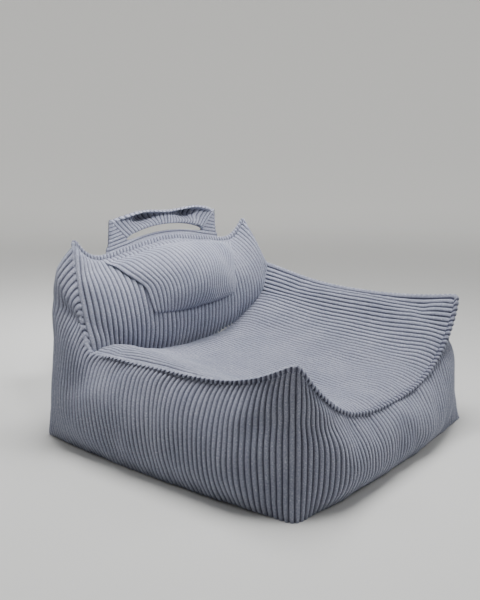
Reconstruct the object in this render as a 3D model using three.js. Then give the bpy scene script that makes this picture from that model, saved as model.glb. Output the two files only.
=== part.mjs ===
// Child's bean bag lounge chair in wide-wale corduroy, millimetres, +Z up.
// The sitter faces -Y, +X is on the sitter's left and the base rests on Z = 0.
//
// The bag is one closed skin of five sewn panels. The skin is laid out as the
// outside of a grid box: column i runs across, row j runs from the rear to the
// front, level k runs from the floor to the rim. Every soft layer (panels,
// liner, bead fill) is the same skin moved inwards by its own depth.

import * as THREE from 'three';

// ---- driving dimensions -------------------------------------------------
const TIP_SPAN = 700;          // over the two front tips
const BASE_REAR_WIDTH = 690;   // sewn base, side to side at the rear
const BASE_FRONT_WIDTH = 722;  // and at the front
const FRONT_Y = -356;          // sewn base, front edge
const REAR_Y = 360;            // sewn base, rear edge
const BASE_BOW = 12;           // how far each base edge bows outwards
const SIDE_BULGE = 34;         // how far a filled side wall swells
const REAR_BULGE = 26;
const SEAT_PUFF = 34;
const BACK_PUFF = 58;
const FRONT_DIP = 146;         // height of the front edge between the tips
const CREASE_LOW = 166;        // height of the seat-to-back seam at mid-width

const TIP_L = new THREE.Vector3(-TIP_SPAN / 2, -336, 290);
const TIP_R = new THREE.Vector3(TIP_SPAN / 2, -336, 309);
const NOTCH_L = new THREE.Vector3(-328, 219, 219);
const NOTCH_R = new THREE.Vector3(328, 219, 337);
const EAR_L = new THREE.Vector3(-310, 290, 458);
const EAR_R = new THREE.Vector3(310, 290, 458);

// depths of the nested layers below the outside of the cover
const COVER = [0, 2.6];
const LINER = [3.0, 3.8];
const FILL_DEPTH = 4.2;
const SEAM_GAP = 0.2;          // each panel stops this far short of its seam

const FLANGE_HEIGHT = 12;      // turned-out seam allowance round the rim
const FLANGE_THICK = 5;

const ZIP_LOW = 55;            // the zip runs in a slot in the rear panel
const ZIP_HIGH = 71;
const ZIP_MID = (ZIP_LOW + ZIP_HIGH) / 2;
const ZIP_COLUMNS = 4;         // grid columns each side of the middle

const HANDLE_HALF = 204;       // carry handle behind the rear seam
const HANDLE_Y = 296.6;        // front of the handle's front layer
const HANDLE_LAYER = 2.6;
const HEADREST_HALF = 200;     // headrest pillow over the backrest
const HEADREST_PUFF = 38;

// ---- grid ---------------------------------------------------------------
const NX = 12;                 // columns across
const NBACK = 5;               // rows of the backrest
const NSEAT = 7;               // rows of the seat
const NY = NBACK + NSEAT;
const LEVELS = [0, 0.12, 0.155, 0.38, 0.62, 0.84, 1];
const NZ = LEVELS.length - 1;

const mix = THREE.MathUtils.lerp;
const vec = (x, y, z) => new THREE.Vector3(x, y, z);
const arch = (t) => Math.sin(Math.PI * THREE.MathUtils.clamp(t, 0, 1));

// ---- seam curves --------------------------------------------------------
const curve = (points) => new THREE.CatmullRomCurve3(points, false, 'centripetal');
const earSeamL = curve([EAR_L, vec(-322, 262, 345), NOTCH_L]);
const earSeamR = curve([EAR_R, vec(322, 258, 390), NOTCH_R]);
const armSeamL = curve([NOTCH_L, vec(-338, 20, 221), vec(-341, -160, 224), vec(-345, -255, 245), TIP_L]);
const armSeamR = curve([NOTCH_R, vec(337, 45, 302), vec(341, -140, 295), vec(345, -250, 299), TIP_R]);
const topSeam = curve([
  EAR_L, vec(-282, 290, 426), vec(-240, 290, 408), vec(-128, 290, 420), vec(0, 290, 434),
  vec(128, 290, 420), vec(240, 290, 408), vec(282, 290, 426), EAR_R,
]);
const crease = curve([
  NOTCH_L, vec(-270, 222, 217), vec(-150, 225, 180), vec(0, 227, CREASE_LOW),
  vec(150, 225, 184), vec(285, 220, 255), NOTCH_R,
]);

// the front edge is a flat-bottomed U between the two tips
function frontSeam(u) {
  const s = 2 * u - 1;
  const tip = s < 0 ? TIP_L : TIP_R;
  const rise = Math.abs(s) ** 3;
  return vec(s * TIP_SPAN / 2, mix(-344, -336, rise), mix(FRONT_DIP, tip.z, rise));
}

// a four-sided patch from its edges: a(u) at v=0, b(u) at v=1, c(v) at u=0, d(v) at u=1
function patch(a, b, c, d, u, v) {
  const across = a(u).multiplyScalar(1 - v).addScaledVector(b(u), v);
  const along = c(v).multiplyScalar(1 - u).addScaledVector(d(v), u);
  const corners = a(0).multiplyScalar((1 - u) * (1 - v)).addScaledVector(a(1), u * (1 - v))
    .addScaledVector(b(0), (1 - u) * v).addScaledVector(b(1), u * v);
  return across.add(along).sub(corners);
}

// backrest: v runs from the top seam down to the crease
function backrest(u, v) {
  const p = patch((s) => topSeam.getPointAt(s), (s) => crease.getPointAt(s),
    (s) => earSeamL.getPointAt(s), (s) => earSeamR.getPointAt(s), u, v);
  const puff = BACK_PUFF * arch(u) ** 0.6 * arch(v ** 0.85) ** 0.8;
  return p.add(vec(0, -0.93, 0.36).multiplyScalar(puff));
}

// seat: v runs from the crease forward to the front seam
function seat(u, v) {
  const p = patch((s) => crease.getPointAt(s), frontSeam,
    (s) => armSeamL.getPointAt(s), (s) => armSeamR.getPointAt(s), u, v);
  p.z += SEAT_PUFF * arch(u) ** 0.6 * arch(v) ** 0.6;
  return p;
}

function base(i, j) {
  const u = i / NX;
  const v = j / NY;
  const x = (u - 0.5) * (mix(BASE_REAR_WIDTH, BASE_FRONT_WIDTH, v) + 2 * BASE_BOW * arch(v));
  const y = mix(REAR_Y, FRONT_Y - BASE_BOW * arch(u), v);
  return vec(x, y, 0);
}

function rim(i, j) {
  if (j <= NBACK) return backrest(i / NX, j / NBACK);
  return seat(i / NX, (j - NBACK) / NSEAT);
}

// side, front and rear walls swell outwards between the base and the rim
function wall(i, j, k) {
  const low = base(i, j);
  const high = rim(i, j);
  let level = LEVELS[k];
  const rear = j === 0;
  if (rear && k <= 2) level = [0, ZIP_LOW, ZIP_HIGH][k] / high.z;
  const p = low.clone().lerp(high, level);
  const swell = arch(level ** 0.85) ** 0.7;
  const side = SIDE_BULGE * swell * Math.max(arch(j / NY) ** 0.4, j === 0 ? 0.6 : 0);
  const front = SIDE_BULGE * swell * arch(i / NX) ** 0.4;
  if (i === 0) p.x -= side;
  if (i === NX) p.x += side;
  if (j === NY) p.y -= front;
  const across = Math.max(0.6, arch(i / NX) ** 0.5);
  if (rear && k > 2) p.y += REAR_BULGE * across * arch((level - 0.15) / 0.85) ** 0.7;
  if (rear && k > 0 && k <= 2) p.y = REAR_Y;
  return p;
}

// ---- the skin: shared vertices and labelled triangles --------------------
const skin = { points: [], faces: [] };
const vertexOf = new Map();

function vertex(i, j, k) {
  const key = `${i},${j},${k}`;
  if (!vertexOf.has(key)) {
    const p = k === 0 ? base(i, j) : k === NZ ? rim(i, j) : wall(i, j, k);
    vertexOf.set(key, skin.points.length);
    skin.points.push(p);
  }
  return vertexOf.get(key);
}

// corners in anticlockwise order seen from outside
function quad(panel, level, ...corners) {
  const [a, b, c, d] = corners.map((ijk) => vertex(...ijk));
  skin.faces.push({ panel, level, tri: [a, b, c] }, { panel, level, tri: [a, c, d] });
}

for (let i = 0; i < NX; i++) {
  for (let j = 0; j < NY; j++) {
    quad('bottom_panel', 0, [i, j, 0], [i + 1, j, 0], [i + 1, j + 1, 0], [i, j + 1, 0]);
    quad(j < NBACK ? 'backrest_panel' : 'seat_panel', NZ,
      [i, j, NZ], [i, j + 1, NZ], [i + 1, j + 1, NZ], [i + 1, j, NZ]);
  }
}
for (let k = 0; k < NZ; k++) {
  for (let j = 0; j < NY; j++) {
    quad('wall_panel', k, [0, j, k], [0, j + 1, k], [0, j + 1, k + 1], [0, j, k + 1]);
    quad('wall_panel', k, [NX, j + 1, k], [NX, j, k], [NX, j, k + 1], [NX, j + 1, k + 1]);
  }
  for (let i = 0; i < NX; i++) {
    quad('wall_panel', k, [i, NY, k], [i + 1, NY, k], [i + 1, NY, k + 1], [i, NY, k + 1]);
    const slot = k === 1 && Math.abs(i + 0.5 - NX / 2) < ZIP_COLUMNS;
    const rearPanel = k === 0 ? 'rear_lower_panel' : slot ? 'zip_slot' : 'rear_upper_panel';
    quad(rearPanel, k, [i + 1, 0, k], [i, 0, k], [i, 0, k + 1], [i + 1, 0, k + 1]);
  }
}

function faceNormal([a, b, c]) {
  const [p, q, r] = [a, b, c].map((n) => skin.points[n]);
  return q.clone().sub(p).cross(r.clone().sub(p)).normalize();
}

// inward mitre of every vertex: moving along it by d sinks all its faces by d
skin.inward = skin.points.map(() => ({ m: [0, 0, 0, 0, 0, 0], n: vec(0, 0, 0) }));
for (const face of skin.faces) {
  face.normal = faceNormal(face.tri);
  for (const v of face.tri) {
    const { m, n } = skin.inward[v];
    const { x, y, z } = face.normal;
    [x * x, x * y, x * z, y * y, y * z, z * z].forEach((value, index) => { m[index] += value; });
    n.add(face.normal);
  }
}
skin.inward = skin.inward.map(({ m, n }) => {
  const soft = 0.01 * (m[0] + m[3] + m[5]);
  const normalMatrix = new THREE.Matrix3().set(
    m[0] + soft, m[1], m[2], m[1], m[3] + soft, m[4], m[2], m[4], m[5] + soft);
  return n.applyMatrix3(normalMatrix.invert()).negate();
});

const sunk = (v, depth) => skin.points[v].clone().addScaledVector(skin.inward[v], depth);

// ---- solids cut from the skin --------------------------------------------
function solid(positions, triangles) {
  const geometry = new THREE.BufferGeometry();
  geometry.setAttribute('position', new THREE.Float32BufferAttribute(positions.flatMap((p) => p.toArray()), 3));
  geometry.setIndex(triangles.flat());
  return geometry;
}

// directed edges that belong to one of the faces only
function openEdges(faces) {
  const edges = new Map();
  for (const { tri, normal } of faces) {
    tri.forEach((a, n) => edges.set(`${a},${tri[(n + 1) % 3]}`, { a, b: tri[(n + 1) % 3], normal }));
  }
  return [...edges.values()].filter(({ a, b }) => !edges.has(`${b},${a}`));
}

// a sheet of the skin between two depths, drawn back from its own edges
function sheet(faces, [outerDepth, innerDepth]) {
  const edges = openEdges(faces);
  const back = new Map();
  for (const { a, b, normal } of edges) {
    const along = skin.points[b].clone().sub(skin.points[a]).normalize();
    const into = normal.clone().cross(along);
    const miter = skin.inward[a].clone().add(skin.inward[b]).normalize();
    const clear = Math.max(0.15, Math.abs(into.dot(miter.cross(along))));
    for (const v of [a, b]) {
      if (!back.has(v)) back.set(v, []);
      back.get(v).push({ into, reach: SEAM_GAP / clear });
    }
  }
  const index = new Map();
  const positions = [];
  for (const v of new Set(faces.flatMap((f) => f.tri))) {
    index.set(v, positions.length);
    const shift = vec(0, 0, 0);
    for (const { into, reach } of back.get(v) ?? []) shift.addScaledVector(into, reach / 1.2);
    positions.push(sunk(v, outerDepth).add(shift), sunk(v, innerDepth).add(shift));
  }
  const triangles = [];
  for (const { tri } of faces) {
    const [a, b, c] = tri.map((v) => index.get(v));
    triangles.push([a, b, c], [a + 1, c + 1, b + 1]);
  }
  for (const edge of edges) {
    const [a, b] = [index.get(edge.a), index.get(edge.b)];
    triangles.push([a, a + 1, b + 1], [a, b + 1, b]);
  }
  return solid(positions, triangles);
}

const facesOf = (...panels) => skin.faces.filter((f) => panels.includes(f.panel));

// a bar of rectangular section swept along points, each with its own two half-axes
function ribbon(stations, closed) {
  const positions = [];
  const triangles = [];
  for (const { at, up, out, rise, half } of stations) {
    positions.push(
      at.clone().addScaledVector(out, -half), at.clone().addScaledVector(out, half),
      at.clone().addScaledVector(out, half).addScaledVector(up, rise),
      at.clone().addScaledVector(out, -half).addScaledVector(up, rise));
  }
  const count = stations.length;
  for (let n = 0; n < (closed ? count : count - 1); n++) {
    const here = 4 * n;
    const next = 4 * ((n + 1) % count);
    for (let s = 0; s < 4; s++) {
      const t = (s + 1) % 4;
      triangles.push([here + s, here + t, next + t], [here + s, next + t, next + s]);
    }
  }
  if (!closed) {
    const last = 4 * (count - 1);
    triangles.push([0, 3, 2], [0, 2, 1], [last, last + 1, last + 2], [last, last + 2, last + 3]);
  }
  return solid(positions, triangles);
}

// the seam allowance that stands up all round the rim, from the left ear forwards
function flange() {
  const loop = [];
  for (let j = 0; j < NY; j++) loop.push([0, j]);
  for (let i = 0; i < NX; i++) loop.push([i, NY]);
  for (let j = NY; j > 0; j--) loop.push([NX, j]);
  for (let i = NX; i > 0; i--) loop.push([i, 0]);
  const ids = loop.map(([i, j]) => vertex(i, j, NZ));
  return ribbon(ids.map((v, n) => {
    const before = skin.points[ids[(n + ids.length - 1) % ids.length]];
    const after = skin.points[ids[(n + 1) % ids.length]];
    const up = skin.inward[v].clone().negate().normalize();
    const out = up.clone().cross(after.clone().sub(before)).normalize();
    const [i, j] = loop[n];
    const lift = j === NBACK && i % NX === 0 ? 3.6 : 1.4;   // the notches bend the other way
    return {
      at: skin.points[v].clone().addScaledVector(up, lift), up, out,
      rise: FLANGE_HEIGHT - lift, half: FLANGE_THICK / 2,
    };
  }), true);
}

// ---- zip -------------------------------------------------------------------
const zipHalf = ZIP_COLUMNS * BASE_REAR_WIDTH / NX - 4;
const box = (x, y, z) => new THREE.BoxGeometry(x, y, z);

// bars of the zip lie along X; y is measured inwards from the rear panel
const zipBar = (length, thick, height, x, inset, z) =>
  box(length, thick, height).translate(x, REAR_Y - inset - thick / 2, z);

// the slider is a channel over the coil with a bridge for its pull
const SLIDER = { length: 13, width: 9, plate: 1.4, lip: 1.4 };
const sliderX = -zipHalf + 20;
function zipSlider() {
  const { length, width, plate, lip } = SLIDER;
  const section = new THREE.Shape([
    [-width / 2, -lip], [-width / 2 + 1, -lip], [-width / 2 + 1, 0], [width / 2 - 1, 0],
    [width / 2 - 1, -lip], [width / 2, -lip], [width / 2, plate], [1.2, plate], [1.2, plate + 3.2],
    [-1.2, plate + 3.2], [-1.2, plate], [-width / 2, plate],
  ].map(([z, y]) => new THREE.Vector2(z, y)));
  const body = new THREE.ExtrudeGeometry(section, { depth: length, bevelEnabled: false });
  // the section's x becomes world Z and its y becomes world Y
  body.applyMatrix4(new THREE.Matrix4().makeBasis(vec(0, 0, 1), vec(0, 1, 0), vec(-1, 0, 0)));
  return body.translate(sliderX + length / 2, REAR_Y + 1.2, ZIP_MID);
}

// the pull is a flat tab forked round the slider's bridge
const PULL_PIVOT = vec(sliderX, REAR_Y + 1.2 + 1.4 + 2.0, ZIP_MID);
function zipPull() {
  const outline = new THREE.Shape([
    [-3.5, -1.6], [-3.5, 1.6], [-1.6, 1.6], [-1.6, -7.4], [1.6, -7.4], [1.6, 1.6], [3.5, 1.6],
    [3.5, -24], [2.4, -27], [-2.4, -27], [-3.5, -24],
  ].reverse().map(([x, y]) => new THREE.Vector2(x, y)));
  const tab = new THREE.ExtrudeGeometry(outline, { depth: 1.2, bevelEnabled: false });
  // the outline's x becomes world Z, its length runs along +X
  tab.applyMatrix4(new THREE.Matrix4().makeBasis(vec(0, 0, 1), vec(-1, 0, 0), vec(0, -1, 0)));
  return tab.translate(PULL_PIVOT.x, PULL_PIVOT.y + 0.6, PULL_PIVOT.z);
}

// ---- carry handle ------------------------------------------------------------
const topHeight = (x) => {
  // height of the rear seam at a given x
  const steps = 60;
  for (let n = 0; n < steps; n++) {
    const a = topSeam.getPoint(n / steps);
    const b = topSeam.getPoint((n + 1) / steps);
    if (a.x <= x && x <= b.x) return mix(a.z, b.z, (x - a.x) / (b.x - a.x));
  }
  return EAR_L.z;
};

function handleLayer(y) {
  const shoulder = (x) => Math.sin(Math.PI * Math.min(1, Math.abs(x) / 175));
  const crown = (x) => 502 + 14 * shoulder(x) - 4 * Math.cos(Math.PI * x / 380);
  const outline = new THREE.Shape();
  outline.moveTo(-HANDLE_HALF, topHeight(-HANDLE_HALF) + 3);
  for (let n = 1; n <= 16; n++) {
    const x = mix(-HANDLE_HALF, HANDLE_HALF, n / 16);
    outline.lineTo(x, topHeight(x) + 3);
  }
  for (let n = 16; n >= 0; n--) {
    const x = mix(-HANDLE_HALF + 10, HANDLE_HALF - 10, n / 16);
    outline.lineTo(x, crown(x));
  }
  const hand = new THREE.Path();
  const slitMid = (x) => 450 + 18 * (1 - (x / 136) ** 2);
  const slitHalf = (x) => 8.5 * Math.sqrt(Math.max(0, 1 - (x / 137) ** 4));
  const slit = [];
  for (let n = 0; n <= 12; n++) slit.push(mix(-136, 136, n / 12));
  hand.moveTo(slit[0], slitMid(slit[0]) + slitHalf(slit[0]));
  slit.slice(1).forEach((x) => hand.lineTo(x, slitMid(x) + slitHalf(x)));
  slit.reverse().forEach((x) => hand.lineTo(x, slitMid(x) - slitHalf(x)));
  outline.holes.push(hand);
  const plate = new THREE.ExtrudeGeometry(outline, { depth: HANDLE_LAYER, bevelEnabled: false });
  // the outline's y becomes world Z
  return plate.rotateX(Math.PI / 2).translate(0, y + HANDLE_LAYER, 0);
}

// ---- headrest pillow -----------------------------------------------------------
// lies over the upper backrest; a runs across, b runs from the top seam downwards
const HEAD_COLUMNS = 10;
const HEAD_ROWS = 7;
function backrestAt(x, v) {
  let [low, high] = [0, 1];
  for (let n = 0; n < 24; n++) {
    const u = (low + high) / 2;
    if (backrest(u, v).x < x) low = u;
    else high = u;
  }
  return backrest((low + high) / 2, v);
}
function headrestPoint(a, b, height) {
  const x = mix(-HEADREST_HALF, HEADREST_HALF, a);
  const v = 0.05 + 0.6 * b;
  const step = 0.01;
  const down = backrestAt(x, v + step).sub(backrestAt(x, v - step));
  return backrestAt(x, v).addScaledVector(vec(0, down.z, -down.y).normalize(), height);
}
const headrestLift = (b) => 2.5 + 12 * b;
function headrestThick(a, b) {
  const edge = Math.min(1, 4 * Math.min(a, 1 - a));
  return 8 + HEADREST_PUFF * Math.sqrt(edge * (2 - edge)) * arch((0.1 + 0.9 * b) ** 1.4) ** 0.8;
}

// a closed slab of the pillow between two heights, its border drawn back by a margin
function headrestSlab(low, high, margin) {
  const at = (i, j, f) => {
    const [a, b] = [i / HEAD_COLUMNS, j / HEAD_ROWS];
    const [p, q] = [a, b].map((t) => THREE.MathUtils.clamp(t, margin, 1 - margin));
    return headrestPoint(p, q, headrestLift(q) + f(a, b));
  };
  const positions = [];
  const row = HEAD_COLUMNS + 1;
  for (const f of [low, high]) {
    for (let j = 0; j <= HEAD_ROWS; j++) for (let i = 0; i <= HEAD_COLUMNS; i++) positions.push(at(i, j, f));
  }
  const top = row * (HEAD_ROWS + 1);
  const triangles = [];
  for (let j = 0; j < HEAD_ROWS; j++) {
    for (let i = 0; i < HEAD_COLUMNS; i++) {
      const [a, b, c, d] = [i + j * row, i + 1 + j * row, i + 1 + (j + 1) * row, i + (j + 1) * row];
      triangles.push([a, b, c], [a, c, d], [top + a, top + c, top + b], [top + a, top + d, top + c]);
    }
  }
  const edge = [];
  for (let i = 0; i < HEAD_COLUMNS; i++) edge.push(i);
  for (let j = 0; j < HEAD_ROWS; j++) edge.push(HEAD_COLUMNS + j * row);
  for (let i = HEAD_COLUMNS; i > 0; i--) edge.push(i + HEAD_ROWS * row);
  for (let j = HEAD_ROWS; j > 0; j--) edge.push(j * row);
  edge.forEach((a, n) => {
    const b = edge[(n + 1) % edge.length];
    triangles.push([a, top + a, top + b], [a, top + b, b]);
  });
  return solid(positions, triangles);
}

// ---- assembly --------------------------------------------------------------------
const CORDUROY = { color: 0x6f7686, roughness: 0.95 };
const PALE_CORDUROY = { color: 0x7d8494, roughness: 0.95 };
const LINER_CLOTH = { color: 0xdcdcd6, roughness: 0.9 };
const BEADS = { color: 0xf4f4f2, roughness: 0.8 };
const ZIP_CLOTH = { color: 0x4d5360, roughness: 0.9 };
const ZIP_NYLON = { color: 0x3c414c, roughness: 0.5 };
const ZIP_METAL = { color: 0x9a9ca0, roughness: 0.35, metalness: 1 };

const chair = new THREE.Group();
chair.name = 'bean_bag_chair';

function add(name, geometry, look) {
  const mesh = new THREE.Mesh(geometry, new THREE.MeshStandardMaterial({ metalness: 0, ...look }));
  mesh.name = name;
  chair.add(mesh);
  return mesh;
}

// casing
add('bottom_panel', sheet(facesOf('bottom_panel'), COVER), CORDUROY);
add('wall_panel', sheet(facesOf('wall_panel'), COVER), CORDUROY);
add('rear_lower_panel', sheet(facesOf('rear_lower_panel'), COVER), CORDUROY);
add('rear_upper_panel', sheet(facesOf('rear_upper_panel'), COVER), CORDUROY);
add('seat_panel', sheet(facesOf('seat_panel'), COVER), PALE_CORDUROY);
add('backrest_panel', sheet(facesOf('backrest_panel'), COVER), PALE_CORDUROY);
add('rim_flange', flange(), CORDUROY);

// inner bag in two halves that meet below the zip, and its filling
const isLower = (f) => f.panel === 'bottom_panel' || (f.level < 3 && f.panel !== 'backrest_panel');
add('liner_lower', sheet(skin.faces.filter(isLower), LINER), LINER_CLOTH);
add('liner_upper', sheet(skin.faces.filter((f) => !isLower(f)), LINER), LINER_CLOTH);
add('bead_fill', solid(skin.points.map((_, v) => sunk(v, FILL_DEPTH)), skin.faces.map((f) => f.tri)), BEADS);

// zip: two tapes, two rows of coil, two end stops, slider and pull
const zipLength = 2 * zipHalf;
const tapeHeight = ZIP_MID - ZIP_LOW - 2.2;
add('zip_tape_lower', zipBar(zipLength, 0.8, tapeHeight, 0, 0.9, ZIP_LOW + 0.6 + tapeHeight / 2), ZIP_CLOTH);
add('zip_tape_upper', zipBar(zipLength, 0.8, tapeHeight, 0, 0.9, ZIP_HIGH - 0.6 - tapeHeight / 2), ZIP_CLOTH);
add('zip_coil_lower', zipBar(zipLength - 12, 1.6, 1.2, 0, 0.3, ZIP_MID - 0.8), ZIP_NYLON);
add('zip_coil_upper', zipBar(zipLength - 12, 1.6, 1.2, 0, 0.3, ZIP_MID + 0.8), ZIP_NYLON);
add('zip_stop_closed_end', zipBar(4, 1.6, 2.8, -zipHalf + 2.6, 0.3, ZIP_MID), ZIP_METAL);
add('zip_stop_open_end', zipBar(4, 1.6, 2.8, zipHalf - 2.6, 0.3, ZIP_MID), ZIP_METAL);
add('zip_slider', zipSlider(), ZIP_METAL);
add('zip_pull_tab', zipPull(), ZIP_METAL);

// carry handle: two layers sewn back to back
add('handle_front_layer', handleLayer(HANDLE_Y), CORDUROY);
add('handle_rear_layer', handleLayer(HANDLE_Y + HANDLE_LAYER + 0.3), CORDUROY);

// headrest: a back cover, a filling and a front cover
const skinDepth = 2.6;
add('headrest_rear_cover', headrestSlab(() => 0, () => skinDepth, 0), CORDUROY);
const onBorder = (a, b) => a * (1 - a) * b * (1 - b) === 0;
add('headrest_fill', headrestSlab(() => skinDepth + 0.6,
  (a, b) => (onBorder(a, b) ? skinDepth + 1.6 : headrestThick(a, b) - skinDepth - 1), 0.03), BEADS);
add('headrest_front_cover', headrestSlab((a, b) => Math.max(skinDepth + 1.8, headrestThick(a, b) - skinDepth),
  (a, b) => headrestThick(a, b), 0), PALE_CORDUROY);

// put the middle of the bounding box over the origin
const middle = new THREE.Box3().setFromObject(chair).getCenter(vec(0, 0, 0));
for (const mesh of chair.children) mesh.geometry.translate(-middle.x, -middle.y, 0);

export default chair;
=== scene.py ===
"""Child's corduroy bean bag chair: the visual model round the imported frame.

The bag is one closed skin, laid out like the outside of a box: a loop of walls (left, front,
right, rear), a top (backrest, then seat) and a bottom. Each side is WALES ribs of corduroy wide,
and every rib is real relief. The bag is filled by a cloth simulation on a coarse copy of that skin,
with all its seams held, and the ribs are laid over the result.
"""
import math

import bpy
import numpy as np
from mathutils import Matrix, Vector


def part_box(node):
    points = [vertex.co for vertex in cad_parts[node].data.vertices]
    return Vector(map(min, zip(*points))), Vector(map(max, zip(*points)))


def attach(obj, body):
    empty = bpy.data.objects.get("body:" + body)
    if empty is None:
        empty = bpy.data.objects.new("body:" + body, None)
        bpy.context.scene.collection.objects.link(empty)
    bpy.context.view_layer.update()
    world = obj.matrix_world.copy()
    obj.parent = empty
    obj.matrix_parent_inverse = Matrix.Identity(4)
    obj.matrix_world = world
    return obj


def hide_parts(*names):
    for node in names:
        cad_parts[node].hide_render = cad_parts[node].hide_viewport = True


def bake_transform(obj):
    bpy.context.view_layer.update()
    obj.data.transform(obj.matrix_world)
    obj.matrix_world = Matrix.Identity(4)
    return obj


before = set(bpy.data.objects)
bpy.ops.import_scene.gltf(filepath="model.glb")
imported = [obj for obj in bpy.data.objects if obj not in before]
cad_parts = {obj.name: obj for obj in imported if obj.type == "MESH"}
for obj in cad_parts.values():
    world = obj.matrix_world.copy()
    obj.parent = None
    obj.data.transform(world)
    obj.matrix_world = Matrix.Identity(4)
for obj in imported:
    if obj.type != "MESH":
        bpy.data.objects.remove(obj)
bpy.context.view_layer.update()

# ---- frame and camera ----
# The seams below are in the pattern's own frame, where the base's rear edge is at REAR_Y.
# SHIFT carries them to the row frame.
SLIDER_BACK = 0.3658  # the back of the zip's slider in the pattern's frame
SHIFT = np.array([0.0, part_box("zip_slider")[1].y - SLIDER_BACK, 0.0])

CAMERA_PLACE = Vector((-1.4828, -1.1183 + SHIFT[1], 0.6931))
YAW, PITCH, ROLL = (math.radians(turn) for turn in (-51.61, -11.53, 0.1))

scene = bpy.context.scene


def add_thing(name, data):
    thing = bpy.data.objects.new(name, data)
    scene.collection.objects.link(thing)
    return thing


camera = add_thing("camera", bpy.data.cameras.new("camera"))
camera.data.lens, camera.data.sensor_width = 48.27, 36  # millimetres
camera.location = CAMERA_PLACE
camera.rotation_euler = (math.pi / 2 + PITCH, ROLL, YAW)
scene.camera = camera

# ---- sizes, metres ----
WALES = 62  # ribs across each side of the bag
BACK_WALES = 52  # ribs across the backrest
EAR_WALES = 15  # ribs that end on an ear's seam
WALE_HEIGHT = 0.0046
RIM_PITCH = 0.0123  # the length of rim that a rib takes up
SUB = 8  # grid steps in a rib
KEPT_STEPS = (0, 1, 2, 4, 6, 7)  # the grid steps of a rib that are kept in its mesh
SIDE = WALES * SUB  # grid steps along a side
LOOP = 4 * SIDE  # and round the whole bag
EAR = EAR_WALES * SUB
BACK = BACK_WALES * SUB
LEVELS = 45  # rows up a wall
ZIP_ROWS = (5, 7)  # the rows on the lower and the upper edge of the zip's opening
WALL_STEP = 3  # of these rows, the coarse skins keep one in this many

TIP_SPAN = 0.700  # width between the two front tips
BASE_REAR, BASE_FRONT, BASE_BOW = 0.690, 0.722, 0.012  # widths, and how far the edges bow out
FRONT_Y, REAR_Y = -0.356, 0.360
TIP_L, TIP_R = (-0.347, -0.347, 0.290), (0.350, -0.336, 0.303)
NOTCH_L, NOTCH_R = (-0.328, 0.219, 0.217), (0.328, 0.219, 0.330)
EAR_L, EAR_R = (-0.310, 0.290, 0.458), (0.310, 0.290, 0.458)
FRONT_DIP, CREASE_LOW = 0.141, 0.166  # lowest heights of these two seams
CREASE_TUCK = 0.006  # how far the seat and the backrest turn in where they are sewn together
SIDE_BULGE, REAR_BULGE = 0.036, 0.028
SEAT_PUFF, BACK_PUFF = 0.034, 0.058
EVENNESS = 0.9  # 1 spaces the ribs evenly along the cloth, 0 evenly between the seams
ZIP_LOW, ZIP_HIGH, ZIP_HALF = 0.055, 0.071, 0.2275  # heights and half length of the opening
ZIP_FLAT = 0.075  # the rear panel is flat below this height
FLOOR_GAP = 0.0004  # the ribs stay this far above the floor

LEVEL = np.linspace(0, 1, LEVELS + 1)  # the share of the height at each row of a wall

random = np.random.default_rng(7)


# ---- small mathematics ----
def mix(a, b, t):
    return a + (b - a) * t


def arch(t):
    return np.sin(np.pi * np.clip(t, 0, 1))


def smooth(t):
    t = np.clip(t, 0, 1)
    return t * t * (3 - 2 * t)


def unit(v):
    return v / np.maximum(np.linalg.norm(v, axis=-1, keepdims=True), 1e-9)


def roll_off(gap, radius):
    """The height of a quarter circle: 0 at an edge, 1 from `radius` inwards."""
    return np.sqrt(1 - (1 - np.clip(gap / radius, 0, 1)) ** 2)


def walked(points):
    """How far along a line of points each of them is."""
    return np.concatenate([[0], np.cumsum(np.linalg.norm(np.diff(points, axis=0), axis=1))])


def between(s, places, points):
    """The points at s of a line whose own points are at the given places."""
    return np.stack([np.interp(s, places, points[:, k]) for k in range(3)], -1)


def shares(columns, rows):
    """The share of the way across and down a grid, at each of its points."""
    return np.meshgrid(np.linspace(0, 1, columns + 1), np.linspace(0, 1, rows + 1))


def spline(points):
    """A centripetal Catmull-Rom line as a function of the share of its length."""
    p = np.array(points, float)
    p = np.vstack([2 * p[0] - p[1], p, 2 * p[-1] - p[-2]])
    line = []
    for a, b, c, d in zip(p, p[1:], p[2:], p[3:]):
        knots = np.cumsum([0] + [np.linalg.norm(y - x) ** 0.5 for x, y in ((a, b), (b, c), (c, d))])
        for t in np.linspace(knots[1], knots[2], 40, endpoint=False):
            def lerp(x, y, i, j):
                return (x * (knots[j] - t) + y * (t - knots[i])) / (knots[j] - knots[i])
            ab, bc, cd = lerp(a, b, 0, 1), lerp(b, c, 1, 2), lerp(c, d, 2, 3)
            line.append(lerp(lerp(ab, bc, 0, 2), lerp(bc, cd, 1, 3), 1, 2))
    line.append(p[-2])
    line = np.array(line)
    places = walked(line)
    return lambda s: between(np.asarray(s, float) * places[-1], places, line)


def cubic_matrix(coarse, fine):
    """Weights that carry values on `coarse` even steps to `fine` even steps, smoothly."""
    x = np.linspace(0, coarse - 1, fine)
    cell = np.minimum(x.astype(int), coarse - 2)
    t = x - cell
    weights = np.zeros((fine, coarse))
    terms = (-t / 2 + t ** 2 - t ** 3 / 2, 1 - 2.5 * t ** 2 + 1.5 * t ** 3,
             t / 2 + 2 * t ** 2 - 1.5 * t ** 3, -t ** 2 / 2 + t ** 3 / 2)
    for step, term in zip((-1, 0, 1, 2), terms):
        np.add.at(weights, (np.arange(fine), np.clip(cell + step, 0, coarse - 1)), term)
    return weights


def refine(values, rows, columns):
    """Values on a coarse grid carried to a finer one."""
    up = cubic_matrix(values.shape[0], rows)
    across = cubic_matrix(values.shape[1], columns)
    if values.ndim == 2:
        return up @ values @ across.T
    return np.stack([up @ values[..., k] @ across.T for k in range(3)], axis=-1)


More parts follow.
